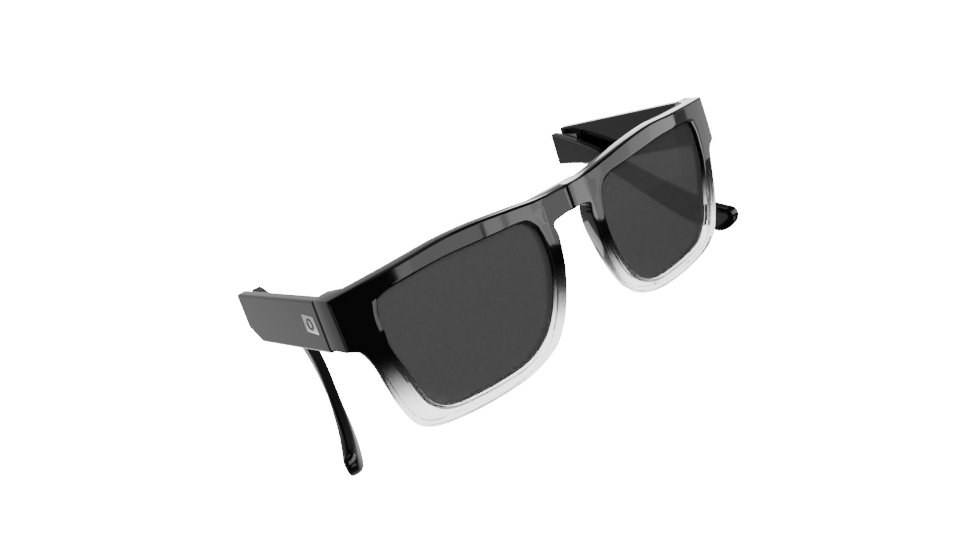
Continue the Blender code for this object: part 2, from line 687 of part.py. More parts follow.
def main():
    clear_scene()
    materials = make_materials()
    root = make_empty("frame_origin", None, CENTRE_SHIFT)
    make_bridge_link(root, materials)
    for word, side in (("left", 1.0), ("right", -1.0)):
        bridge = make_empty("bridge_axis_" + word, root, (side * BRIDGE_PIN[0], BRIDGE_PIN[1], 0.0))
        make_front(word, side, bridge, materials)
        reach = (TEMPLE_PIN[0] - BRIDGE_PIN[0], TEMPLE_PIN[1] - BRIDGE_PIN[1])
        place = (side * reach[0], reach[1], 0.0)
        hinge = make_empty("temple_axis_" + word, bridge, place, side * TEMPLE_ANGLE)
        make_temple(word, side, hinge, materials)
        fold = make_empty("fold_axis_" + word, hinge, (side * FOLD_PIN[0], FOLD_PIN[1], 0.0),
                          side * FOLD_AT_REST[word])
        make_tip(word, side, fold, materials)


main()
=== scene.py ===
"""Folding sunglasses: the looks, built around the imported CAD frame.

Shapes are drawn in millimetres in the design frame of the front (x from the bridge seam to the wearer's
left, y backwards, z up from the middle of the lenses) or of a temple (out, along, up from its hinge).
"""
import math

import bmesh
import bpy
from mathutils import Matrix, Vector


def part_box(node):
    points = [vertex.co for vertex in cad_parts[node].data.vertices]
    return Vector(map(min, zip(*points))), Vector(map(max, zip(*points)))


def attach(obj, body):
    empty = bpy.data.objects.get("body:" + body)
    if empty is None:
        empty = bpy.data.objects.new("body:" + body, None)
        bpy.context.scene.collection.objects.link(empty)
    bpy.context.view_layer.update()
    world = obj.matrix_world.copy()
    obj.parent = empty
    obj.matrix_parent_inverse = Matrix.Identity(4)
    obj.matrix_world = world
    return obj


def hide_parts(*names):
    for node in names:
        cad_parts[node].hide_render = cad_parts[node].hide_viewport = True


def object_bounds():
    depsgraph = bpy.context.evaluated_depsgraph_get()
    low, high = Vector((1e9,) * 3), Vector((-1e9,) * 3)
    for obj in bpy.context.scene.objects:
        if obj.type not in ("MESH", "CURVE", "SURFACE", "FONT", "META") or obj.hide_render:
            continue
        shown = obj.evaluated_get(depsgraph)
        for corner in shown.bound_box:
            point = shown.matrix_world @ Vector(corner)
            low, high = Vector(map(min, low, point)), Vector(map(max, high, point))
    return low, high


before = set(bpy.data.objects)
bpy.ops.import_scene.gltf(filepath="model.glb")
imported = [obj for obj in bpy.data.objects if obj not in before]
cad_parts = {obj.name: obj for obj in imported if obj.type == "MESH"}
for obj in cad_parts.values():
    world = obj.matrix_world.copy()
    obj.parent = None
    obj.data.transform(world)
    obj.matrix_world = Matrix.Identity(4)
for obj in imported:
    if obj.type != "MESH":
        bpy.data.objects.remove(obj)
cad_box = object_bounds()

MM = 0.001

# The design frame's origin, found from the bridge link, whose place in that frame is known.
LINK_FRONT_Y = 4.1
LINK_BOTTOM_Z = 9.8
link_low, link_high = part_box("bridge_link")
ORIGIN = Vector((0.5 * (link_low.x + link_high.x), link_low.y - LINK_FRONT_Y * MM,
                 link_low.z - LINK_BOTTOM_Z * MM))
FLOOR_Z = cad_box[0][2]

# Shape of the front, as in the CAD.
WRAP_RADIUS = 177.0
TOE_SLOPE = 0.071
HEIGHT_CURVE = 0.00334
BRIDGE_RIDGE = 2.2
BRIDGE_HALF_WIDTH = 8.4
RIM_DEPTH = 4.0
EDGE_ROUND = 0.65
OPENING_ROUND = 0.35
LIP_ROUND = 0.45
GROOVE_CENTRE = 2.3
GROOVE_WIDTH = 2.2
GROOVE_DEPTH = 0.85
LENS_THICKNESS = 1.6
LENS_REACH = 0.55
RETURN_END_Y = 16.55
RETURN_INNER_X = 66.6

# Rim stations around the lens: lens opening (x, z), outer edge (x, z), depth, splay of the rear edge.
RIM_STATIONS = [
    (11.8, 8.0, 6.6, 8.3, 4.6, 0.0),
    (12.9, 10.0, 2.6, 9.4, 3.6, 0.0),
    (14.3, 11.5, 0.15, 9.5, 3.5, 0.0),
    (16.0, 12.3, 0.15, 16.4, 3.5, 0.0),
    (18.5, 12.9, 8.0, 16.0, 3.6, 0.0),
    (22.5, 13.1, 18.0, 17.2, 3.7, 0.0),
    (32.1, 13.6, 30.0, 18.4, 3.7, 0.0),
    (40.5, 13.9, 40.0, 18.6, 3.7, 0.0),
    (50.0, 13.4, 50.0, 17.7, 4.2, 0.0),
    (56.6, 12.7, 60.5, 16.8, 4.2, 0.0),
    (59.6, 11.6, 70.5, 15.9, 4.2, 0.0),
    (60.7, 8.0, 70.5, 9.0, 4.2, 0.0),
    (60.7, 3.8, 70.5, 2.6, 4.2, 0.0),
    (60.7, 0.0, 67.3, 1.0, 4.2, 0.5),
    (59.7, -4.2, 65.8, -2.6, 4.0, 1.2),
    (58.2, -9.0, 64.6, -9.0, 3.8, 1.6),
    (56.8, -14.2, 62.9, -15.8, 3.8, 1.6),
    (54.9, -18.4, 60.3, -21.8, 3.8, 1.4),
    (51.4, -21.5, 56.2, -25.1, 3.8, 0.6),
    (46.2, -22.8, 48.5, -26.6, 3.8, 0.2),
    (36.0, -23.2, 36.5, -27.0, 3.8, 0.0),
    (26.0, -22.5, 25.2, -26.0, 4.2, 0.3),
    (19.5, -19.6, 16.4, -22.6, 4.9, 1.0),
    (15.7, -15.5, 12.1, -17.4, 5.4, 1.4),
    (13.2, -10.0, 9.1, -10.9, 5.5, 1.4),
    (11.6, -4.5, 7.4, -4.6, 5.5, 0.9),
    (11.0, 0.0, 6.7, 0.8, 5.5, 0.2),
    (11.1, 4.0, 6.4, 5.2, 5.2, 0.0),
]
SHARP_STATIONS = (2, 3, 10, 12)
STEPS_PER_STATION = 6

# Hinges and temples, as in the CAD.
GAP = 0.3
BRIDGE_PIN = (8.3, 5.6)
BRIDGE_LEAF_SEAT = 0.4          # of the leaf's seat on the rim, forward of the bridge pin
BRIDGE_SCREW_Z = 12.5
TEMPLE_PIN = (66.6, 17.0)
TEMPLE_ANGLE = 5.3
TEMPLE_CLEAR = 1.6
TEMPLE_HINGE_Z = (5.0, 13.0)
TEMPLE_OUTER = 3.87
TEMPLE_THICKNESS = 3.1
TEMPLE_TOP = 15.55
TEMPLE_HEIGHT = 14.1
TEMPLE_SLOPE = 5.0
TEMPLE_END = 49.35
TEMPLE_CHAMFER = (6.5, 4.1)
TEMPLE_ROUND = 0.7
FOLD_PIN = (0.07, 49.5)
FOLD_CLEAR = 1.45
FOLD_HINGE_Z = (2.6, 9.4)
FOLD_PLATE = (0.35, 1.05)
FOLD_PLATE_LENGTH = 9.0
FOLD_SCREWS = (3.6, 7.0)
FOLD_AT_REST = {"left": 176.5, "right": 180.0}
TIP_LINE = [
    (0.15, 5.2, 10.6),
    (9.0, 3.8, 7.8),
    (18.0, 1.5, 4.9),
    (27.0, -4.6, 5.3),
    (36.0, -12.3, 6.2),
    (45.0, -20.0, 7.4),
    (52.0, -24.6, 8.0),
]
TIP_THICKNESS = 2.9
TIP_SWELL = 1.2
TIP_BEND_START = 14.0
TIP_BEND = 0.0082
TIP_END_ROUND = 3.2
PLAQUE_ALONG = (2.1, 8.9)
PLAQUE_DROP = (9.1, 4.0)        # of the plaque's lower and upper edges below the temple's top edge
PLAQUE_DEPTH = 0.8
PLAQUE_GAP = 0.12
PLAQUE_ROUND = 0.12
PLAQUE_PROUD = 0.1              # of the plaque's face out of the temple's
RING_SECTION = [                # of the ring on the plaque: radius, height off the plaque's face
    (0.92, -0.1), (0.95, 0.05), (1.05, 0.1), (1.58, 0.1), (1.68, 0.05), (1.71, -0.1),
]
RING_SIDES = 48

# Screws: head radius, head height, shank radius, shank length.
SCREW = (0.85, 0.35, 0.45, 2.0)
SMALL_SCREW = (0.8, 0.2, 0.4, 1.6)
SCREW_CLEARANCE = 0.1
SCREW_SIDES = 36
BRIDGE_SCREW_XS = (2.6, 4.7)    # outwards from the bridge pin
FRONT_SCREW_ZS = (7.0, 11.0)
FRONT_LEAF_FACE = 65.4
FRONT_SCREW_Y = 14.0
REAR_SCREW_BS = (4.0, 7.2)
REAR_SCREW_Z = 9.0
REAR_LEAF_FACE = -0.33
HEAD_SINK = 0.02                # of a screw head into its leaf

# Camera: in front of the glasses, to the wearer's right, a little above, and rolled.
CAMERA_AT = ORIGIN + Vector((-0.18965, -0.21835, 0.09281))
CAMERA_AZIMUTH = -35.95
CAMERA_ELEVATION = 18.0
CAMERA_ROLL = -17.97
CAMERA_LENS = 42.494

# Looks: the width of the steel's softened edges, heights of the fade above the middle of the lenses, all
# in metres, and tints.
EDGE_SOFTENING = 0.00008
FADE_LOW = -0.0218
FADE_HIGH = -0.0015
FADE_WANDER = 0.0009
SEE_THROUGH_RISE = 0.004        # above FADE_LOW, up to which the plastic is fully clear
BLACK_LEVEL = 0.0015
CLEAR_TINT = 0.17
LENS_TINT = 0.056
LENS_THROUGH = 0.17
PLASTIC_IOR = 1.49

# Studio: the backdrop's radiance, which the tone curve shows as near white, and the softboxes.
WHITE_LEVEL = 18.0
STUDIO_RADIUS = 3.0
STUDIO_CENTRE = Vector((0.0, 0.0, 0.025))
PANEL_DISTANCE = 0.9
FRONT_PANEL_ELEVATION = -1.5
FRONT_PANEL_HEIGHT = 0.42

# Front softboxes: from and to azimuth, and radiance; the narrow gaps draw the dark lines in the gloss.
FRONT_PANELS = [
    (1.6, 4.6, 3.2),
    (4.6, 22.4, 2.6),
    (23.2, 27.8, 4.2),
    (27.8, 29.6, 2.4),
    (29.6, 36.0, 4.4),
    (36.0, 42.0, 3.4),
    (42.0, 52.0, 2.6),
    (52.0, 60.0, 3.2),
    (60.0, 69.5, 3.7),
    (70.2, 74.3, 0.3),
    (74.3, 92.0, 1.3),
]

# Other softboxes seen in the gloss: name, azimuth, elevation, width, height, radiance.
SIDE_PANELS = [
    ("back_panel", 125.0, 15.0, 0.42, 0.4, 5.0),
    ("low_panel", -157.0, -29.5, 0.44, 0.2, 3.6),
    ("crown_panel", 14.0, 54.0, 0.36, 0.12, 2.0),
    ("side_panel", -120.0, 48.0, 0.44, 0.44, 2.2),
    ("left_panel", -55.0, -17.0, 0.32, 0.34, 0.8),
    ("low_front_panel", 30.0, -33.0, 0.5, 0.24, 1.3),
]

# The fill lights the object and is not seen in its gloss.
FILL_DISTANCE = 1.0
FILL = ("fill", -15.0, 20.0, 1.6, 1.4, 2.2)


# ---------------------------------------------------------------- helpers

def front_place(side):
    """From millimetres in the design frame of the front to the world."""
    return lambda p: ORIGIN + Vector((side * p[0], p[1], p[2])) * MM


def temple_place(side):
    """From (out, along, up) of a temple's front section to the world."""
    lean = math.radians(TEMPLE_ANGLE)
    front = front_place(side)

    def place(p):
        x = TEMPLE_PIN[0] + p[0] * math.cos(lean) - p[1] * math.sin(lean)
        y = TEMPLE_PIN[1] + p[0] * math.sin(lean) + p[1] * math.cos(lean)
        return front((x, y, p[2]))

    return place


def tip_place(side, folded):
    """From (out, along, up) of a temple's rear section, folded by so many degrees, to the world."""
    turn = math.radians(folded)
    temple = temple_place(side)

    def place(p):
        out = FOLD_PIN[0] + p[0] * math.cos(turn) - p[1] * math.sin(turn)
        along = FOLD_PIN[1] + p[0] * math.sin(turn) + p[1] * math.cos(turn)
        return temple((out, along, p[2]))

    return place


def to_object(name, bm, place):
    for vert in bm.verts:
        vert.co = place(vert.co)
    bmesh.ops.recalc_face_normals(bm, faces=bm.faces)
    if bm.calc_volume(signed=True) < 0.0:
        bmesh.ops.reverse_faces(bm, faces=bm.faces)
    mesh = bpy.data.meshes.new(name)
    bm.to_mesh(mesh)
    bm.free()
    piece = bpy.data.objects.new(name, mesh)
    bpy.context.collection.objects.link(piece)
    return piece


def store(name, bm, place, body, material, node=None, cutter=None, sharp=32.0,
          flat_faces=False):
    """Finish a mesh drawn in millimetres, less the shapes in cutter, and let it ride on a body."""
    piece = to_object(name, bm, place)
    if cutter:
        tool = to_object(name + "_cutter", cutter, place)
        modifier = piece.modifiers.new("cut", "BOOLEAN")
        modifier.operation = "DIFFERENCE"
        modifier.solver = "EXACT"
        modifier.use_self = True
        modifier.object = tool
        bpy.context.view_layer.update()
        graph = bpy.context.evaluated_depsgraph_get()
        whole = piece.data
        piece.data = bpy.data.meshes.new_from_object(piece.evaluated_get(graph))
        piece.modifiers.clear()
        bpy.data.objects.remove(tool, do_unlink=True)
        bpy.data.meshes.remove(whole)
        piece.data.name = name
    piece.data.materials.clear()
    piece.data.materials.append(material)
    piece.data.shade_smooth()
    piece.data.set_sharp_from_angle(angle=math.radians(sharp))
    if flat_faces:
        level = piece.modifiers.new("flat_faces", "WEIGHTED_NORMAL")
        level.weight = 100
        level.keep_sharp = True
    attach(piece, body)
    if node:
        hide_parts(node)
    return piece


def add_prism(bm, outline, place, low, high):
    """Add a closed prism; place(u, v, w) gives the point for outline (u, v) at level w."""
    lower = [bm.verts.new(place(u, v, low)) for u, v in outline]
    upper = [bm.verts.new(place(u, v, high)) for u, v in outline]
    bm.faces.new(lower)
    bm.faces.new(upper)
    for i in range(len(outline)):
        j = (i + 1) % len(outline)
        bm.faces.new((lower[i], lower[j], upper[j], upper[i]))


def add_box(bm, low, high):
    outline = [(low[0], low[1]), (high[0], low[1]), (high[0], high[1]), (low[0], high[1])]
    add_prism(bm, outline, lambda u, v, w: (u, v, w), low[2], high[2])


def circle(radius, count, centre=(0.0, 0.0)):
    turns = [2.0 * math.pi * i / count for i in range(count)]
    return [(centre[0] + radius * math.cos(a), centre[1] + radius * math.sin(a)) for a in turns]


def rounded_rectangle(half_u, half_v, radius, steps):
    """Outline of a rectangle whose corners are rounded by radius, or by less where it is narrow."""
    radius = min(radius, half_u * 0.9, half_v * 0.9)
    points = []
    for quarter, (sign_u, sign_v) in enumerate(((1, 1), (-1, 1), (-1, -1), (1, -1))):
        for i in range(steps + 1):
            turn = 0.5 * math.pi * (quarter + i / steps)
            points.append((sign_u * (half_u - radius) + radius * math.cos(turn),
                           sign_v * (half_v - radius) + radius * math.sin(turn)))
    return points


def add_round(bm, centre, radius, low, high, axis="z", count=32):
    """Add a cylinder around centre (the two coordinates that are not along axis)."""
    places = {
        "x": lambda u, v, w: (w, u, v),
        "y": lambda u, v, w: (u, w, v),
        "z": lambda u, v, w: (u, v, w),
    }
    add_prism(bm, circle(radius, count, centre), places[axis], low, high)


def add_tube(bm, rings, closed):
    """Faces between successive rings of points, and end caps unless the run is closed."""
    rings = [[bm.verts.new(p) for p in ring] for ring in rings]
    count = len(rings)
    for i in range(count if closed else count - 1):
        ring, following = rings[i], rings[(i + 1) % count]
        for j in range(len(ring)):
            k = (j + 1) % len(ring)
            bm.faces.new((ring[j], ring[k], following[k], following[j]))
    if not closed:
        bm.faces.new(rings[0])
        bm.faces.new(rings[-1])


def spline(points, closed, steps, sharp=()):
    """Catmull-Rom points through rows of numbers; the curve has a corner at each sharp row."""
    count = len(points)
    result = []
    for i in range(count if closed else count - 1):
        j = (i + 1) % count
        before = points[i] if i in sharp or (i == 0 and not closed) else points[i - 1]
        after = points[j] if j in sharp or (j == count - 1 and not closed) else points[(j + 1) % count]
        for step in range(steps):
            t = step / steps
            row = []
            for p0, p1, p2, p3 in zip(before, points[i], points[j], after):
                bend = (2 * p0 - 5 * p1 + 4 * p2 - p3) * t * t + (3 * p1 - p0 - 3 * p2 + p3) * t ** 3
                row.append(0.5 * (2 * p1 + (p2 - p0) * t + bend))
            result.append(tuple(row))
    if not closed:
        result.append(tuple(points[-1]))
    return result


def smoothstep(low, high, value):
    """Smooth step from 0 at low to 1 at high, which may be the smaller."""
    t = min(max((value - low) / (high - low), 0.0), 1.0)
    return t * t * (3.0 - 2.0 * t)


def front_y(x, z):
    """Front surface of the left half."""
    ridge = BRIDGE_RIDGE * max(0.0, 1.0 - x / BRIDGE_HALF_WIDTH)
    return x * x / (2.0 * WRAP_RADIUS) - TOE_SLOPE * x + HEIGHT_CURVE * z * z - ridge


# ---------------------------------------------------------------- materials

def new_material(name):
    material = bpy.data.materials.new(name)
    material.use_nodes = True
    tree = material.node_tree
    return material, tree, tree.nodes["Principled BSDF"]


def position(tree):
    return tree.nodes.new("ShaderNodeTexCoord").outputs["Object"]


def noise_at(tree, scale, detail=2.0):
    """Noise over the object's own coordinates; scale is one number or one for each axis, per metre."""
    noise = tree.nodes.new("ShaderNodeTexNoise")
    noise.inputs["Detail"].default_value = detail
    noise.inputs["Scale"].default_value = 1.0
    stretch = tree.nodes.new("ShaderNodeMapping")
    stretch.inputs["Scale"].default_value = scale if isinstance(scale, tuple) else (scale, scale, scale)
    tree.links.new(position(tree), stretch.inputs["Vector"])
    tree.links.new(stretch.outputs["Vector"], noise.inputs["Vector"])
    return noise.outputs["Fac"]


def map_range(tree, source, low, high, to_low, to_high, smooth=False):
    node = tree.nodes.new("ShaderNodeMapRange")
    node.interpolation_type = "SMOOTHSTEP" if smooth else "LINEAR"
    tree.links.new(source, node.inputs["Value"])
    node.inputs["From Min"].default_value = low
    node.inputs["From Max"].default_value = high
    node.inputs["To Min"].default_value = to_low
    node.inputs["To Max"].default_value = to_high
    return node.outputs["Result"]


def mixed_grey(tree, factor, dark, light):
    mix = tree.nodes.new("ShaderNodeMix")
    mix.data_type = "RGBA"
    tree.links.new(factor, mix.inputs["Factor"])
    mix.inputs["A"].default_value = (dark, dark, dark, 1.0)
    mix.inputs["B"].default_value = (light, light, light, 1.0)
    return mix.outputs["Result"]


def add_bump(tree, shader, height, distance):
    bump = tree.nodes.new("ShaderNodeBump")
    bump.inputs["Strength"].default_value = 1.0
    bump.inputs["Distance"].default_value = distance
    tree.links.new(height, bump.inputs["Height"])
    tree.links.new(bump.outputs["Normal"], shader.inputs["Normal"])


def frame_plastic(name, fades):
    """Polished moulded plastic with faint handling haze: black, or black that fades to clear below."""
    material, tree, shader = new_material(name)
    shader.inputs["IOR"].default_value = PLASTIC_IOR
    haze = noise_at(tree, 160.0, 4.0)
    polish, dulled = (0.04, 0.075) if fades else (0.08, 0.13)
    tree.links.new(map_range(tree, haze, 0.35, 0.7, polish, dulled), shader.inputs["Roughness"])
    add_bump(tree, shader, noise_at(tree, 70.0), 0.00002)
    if not fades:
        tree.links.new(mixed_grey(tree, haze, BLACK_LEVEL, 0.0035), shader.inputs["Base Color"])
        return material
    split = tree.nodes.new("ShaderNodeSeparateXYZ")
    tree.links.new(position(tree), split.inputs[0])
    wander = map_range(tree, noise_at(tree, 110.0), 0.3, 0.7, -FADE_WANDER, FADE_WANDER)
    level = tree.nodes.new("ShaderNodeMath")
    level.operation = "ADD"
    tree.links.new(split.outputs["Z"], level.inputs[0])
    tree.links.new(wander, level.inputs[1])
    low, high = ORIGIN.z + FADE_LOW, ORIGIN.z + FADE_HIGH
    clear = map_range(tree, level.outputs[0], low, high, 1.0, 0.0, True)
    through = map_range(tree, level.outputs[0], low + SEE_THROUGH_RISE, high, 1.0, 0.0, True)
    tree.links.new(mixed_grey(tree, clear, BLACK_LEVEL, CLEAR_TINT), shader.inputs["Base Color"])
    tree.links.new(through, shader.inputs["Transmission Weight"])
    return material


def lens_tint():
    """Neutral grey tint, nearly opaque, with an anti-reflection coat."""
    material, tree, shader = new_material("lens_tint")
    grain = noise_at(tree, 2600.0, 3.0)
    tree.links.new(mixed_grey(tree, grain, LENS_TINT * 0.8, LENS_TINT * 1.2), shader.inputs["Base Color"])
    shader.inputs["Transmission Weight"].default_value = LENS_THROUGH
    tree.links.new(map_range(tree, noise_at(tree, 200.0), 0.3, 0.7, 0.02, 0.05), shader.inputs["Roughness"])
    shader.inputs["Specular IOR Level"].default_value = 0.0
    shader.inputs["IOR"].default_value = 1.1
    add_bump(tree, shader, grain, 0.0000008)
    return material


def brushed_steel(name, stretch, dark, light, rough_low, rough_high):
    """Satin metal brushed along the axis that stretch leaves finest across, with worn spots."""
    material, tree, shader = new_material(name)
    shader.inputs["Metallic"].default_value = 1.0
    grain = noise_at(tree, stretch, 3.0)
    tree.links.new(mixed_grey(tree, grain, dark, light), shader.inputs["Base Color"])
    wear = noise_at(tree, 900.0, 4.0)
    tree.links.new(map_range(tree, wear, 0.3, 0.7, rough_low, rough_high), shader.inputs["Roughness"])
    add_bump(tree, shader, grain, 0.000002)
    return material


FADE = frame_plastic("plastic_fade", True)
BLACK = frame_plastic("plastic_black", False)
TINT = lens_tint()
STEEL = brushed_steel("hinge_steel", (700.0, 700.0, 7000.0), 0.30, 0.55, 0.22, 0.4)
SCREW_STEEL = brushed_steel("screw_steel", (3000.0, 3000.0, 3000.0), 0.38, 0.62, 0.18, 0.34)
PLAQUE = brushed_steel("plaque_metal", (900.0, 900.0, 9000.0), 0.42, 0.66, 0.26, 0.4)
PLAQUE_DARK = brushed_steel("plaque_ring", (4000.0, 4000.0, 4000.0), 0.03, 0.07, 0.3, 0.45)


# ---------------------------------------------------------------- rims and lenses

def unit(flat):
    return flat.normalized() if flat.length > 1e-9 else Vector((0.0, 0.0))


def mitre(before, here, after):
    """Outward offset of one millimetre at an outline point, longer at a corner (clockwise outline)."""
    first = unit(here - before)
    second = unit(after - here)
    first = Vector((-first.y, first.x))
    second = Vector((-second.y, second.x))
    middle = unit(first + second)
    return middle / max(middle.dot(first), 0.6)


def rim_stations():
    """Rows of the rim, each with its offsets out of the lens opening and out of the outer edge."""
    rows = spline(RIM_STATIONS, True, STEPS_PER_STATION, SHARP_STATIONS)
    stations = []
    for i, row in enumerate(rows):
        behind, ahead = rows[i - 1], rows[(i + 1) % len(rows)]
        offsets = []
        for k in (0, 2):
            offsets.append(mitre(Vector(behind[k:k + 2]), Vector(row[k:k + 2]), Vector(ahead[k:k + 2])))
        stations.append((row, offsets[0], offsets[1]))
    return stations


def rim_section(station):
    """Points of the rim's closed section."""
    (inner_x, inner_z, outer_x, outer_z, depth, splay), from_opening, from_edge = station
    inner = Vector((inner_x, inner_z))
    outer = Vector((outer_x, outer_z))
    inward = (inner - outer).normalized()
    at_return = smoothstep(64.0, 66.8, outer_x) * smoothstep(0.6, 2.6, outer_z)

    def behind(flat, distance):
        return (flat.x, front_y(flat.x, flat.y) + distance, flat.y)

    def shifted(flat, x_target):
        return Vector((flat.x + at_return * (min(flat.x, x_target) - flat.x), flat.y))

    points = []
    for i in range(4):
        turn = 0.5 * math.pi * i / 3
        reach = OPENING_ROUND * (1.0 - math.cos(turn))
        points.append(behind(inner + from_opening * reach, OPENING_ROUND * (1.0 - math.sin(turn))))
    for share in (0.8, 0.58, 0.48, 0.38, 0.27, 0.14):
        points.append(behind(outer.lerp(inner, share), 0.0))
    for i in range(5):
        turn = 0.5 * math.pi * i / 4
        reach = EDGE_ROUND * (1.0 - math.sin(turn))
        points.append(behind(outer - from_edge * reach, EDGE_ROUND * (1.0 - math.cos(turn))))
    lip_y = front_y(outer_x, outer_z) + depth
    lip_y += at_return * (RETURN_END_Y - lip_y)
    splay *= 1.0 - at_return
    lip_outer = outer + inward * splay
    for i in range(4):
        turn = 0.5 * math.pi * i / 3
        flat = lip_outer - from_edge * LIP_ROUND * (1.0 - math.cos(turn))
        points.append((flat.x, lip_y - LIP_ROUND * (1.0 - math.sin(turn)), flat.y))
    lip_inner = shifted(outer + inward * (splay * 0.6 + 1.5), RETURN_INNER_X)
    foot = shifted(outer + inward * (splay * 0.4 + 1.9), RETURN_INNER_X - 0.3)
    points.append((lip_inner.x, lip_y - 0.15, lip_inner.y))
    points.append(behind(foot, min(depth, RIM_DEPTH) + 0.02))
    points.append(behind(inner + from_opening * (GROOVE_DEPTH + 0.1), RIM_DEPTH))
    points.append(behind(inner + from_opening * 0.1, RIM_DEPTH - 0.03))
    points.append(behind(inner, RIM_DEPTH - 0.15))
    low_groove = GROOVE_CENTRE - GROOVE_WIDTH / 2
    high_groove = GROOVE_CENTRE + GROOVE_WIDTH / 2
    groove_floor = inner + from_opening * GROOVE_DEPTH
    points.append(behind(inner, high_groove))
    points.append(behind(groove_floor, high_groove))
    points.append(behind(groove_floor, low_groove))
    points.append(behind(inner, low_groove))
    return points


def make_rim(word, side):
    bm = bmesh.new()
    add_tube(bm, [rim_section(station) for station in rim_stations()], True)
    holes = bmesh.new()
    for x in BRIDGE_SCREW_XS:
        hole = (BRIDGE_PIN[0] + x, BRIDGE_SCREW_Z)
        deep = BRIDGE_PIN[1] - BRIDGE_LEAF_SEAT - SCREW[3] - GAP
        add_round(holes, hole, SCREW[2] + SCREW_CLEARANCE, deep, BRIDGE_PIN[1] + 3.0, "y")
    for z in FRONT_SCREW_ZS:
        deep = FRONT_LEAF_FACE + SCREW[3] + GAP
        add_round(holes, (FRONT_SCREW_Y, z), SCREW[2] + SCREW_CLEARANCE, FRONT_LEAF_FACE - 1.0, deep, "x")
    low, high = TEMPLE_HINGE_Z
    add_round(holes, TEMPLE_PIN, TEMPLE_CLEAR + 0.05, low - GAP, high + GAP, "z", 48)
    store("rim_shell_" + word, bm, front_place(side), "front_" + word, FADE,
          "rim_" + word, holes)


def make_lens(word, side):
    """A curved plate that follows the front surface, with a ground edge in the rim's groove."""
    outline = [Vector(row[:2]) + from_opening * LENS_REACH for row, from_opening, _ in rim_stations()]
    middle = sum(outline, Vector((0.0, 0.0))) / len(outline)
    half = LENS_THICKNESS / 2

    def ring(share, reach, level):
        points = []
        for p in outline:
            flat = middle + (p - middle) * share
            flat = flat - unit(p - middle) * reach
            points.append((flat.x, front_y(flat.x, flat.y) + GROOVE_CENTRE + level, flat.y))
        return points

    shares = (0.12, 0.3, 0.5, 0.7, 0.85, 0.95)
    rings = [ring(share, 0.0, -half) for share in shares]
    rings += [ring(1.0, 0.3, -half), ring(1.0, 0.08, 0.12 - half), ring(1.0, 0.0, 0.35 - half)]
    rings += [ring(1.0, 0.0, half - 0.35), ring(1.0, 0.08, half - 0.12), ring(1.0, 0.3, half)]
    rings += [ring(share, 0.0, half) for share in reversed(shares)]
    bm = bmesh.new()
    add_tube(bm, rings, False)
    store("lens_plate_" + word, bm, front_place(side), "front_" + word, TINT, "lens_" + word)


# ---------------------------------------------------------------- temples

def temple_edge(along):
    """Height of the temple's top edge."""
    return TEMPLE_TOP - math.tan(math.radians(TEMPLE_SLOPE)) * along


def add_fold_room(bm, forward, axis):
    """Room for a fold leaf, its screws and the knuckles; forward is -1 for the front leaf."""
    a, b = axis
    low, high = FOLD_HINGE_Z
    ends = sorted((b, b + forward * (FOLD_PLATE_LENGTH + GAP)))
    add_box(bm, (a - 3.0, ends[0], low - GAP), (a + FOLD_PLATE[1] + GAP, ends[1], high + GAP))
    add_round(bm, axis, FOLD_CLEAR, low - GAP, high + GAP, "z", 48)
    depth = a + FOLD_PLATE[0] + SMALL_SCREW[3] + GAP
    for reach in FOLD_SCREWS:
        hole = (b + forward * reach, 0.5 * (low + high))
        add_round(bm, hole, SMALL_SCREW[2] + SCREW_CLEARANCE, a, depth, "x")


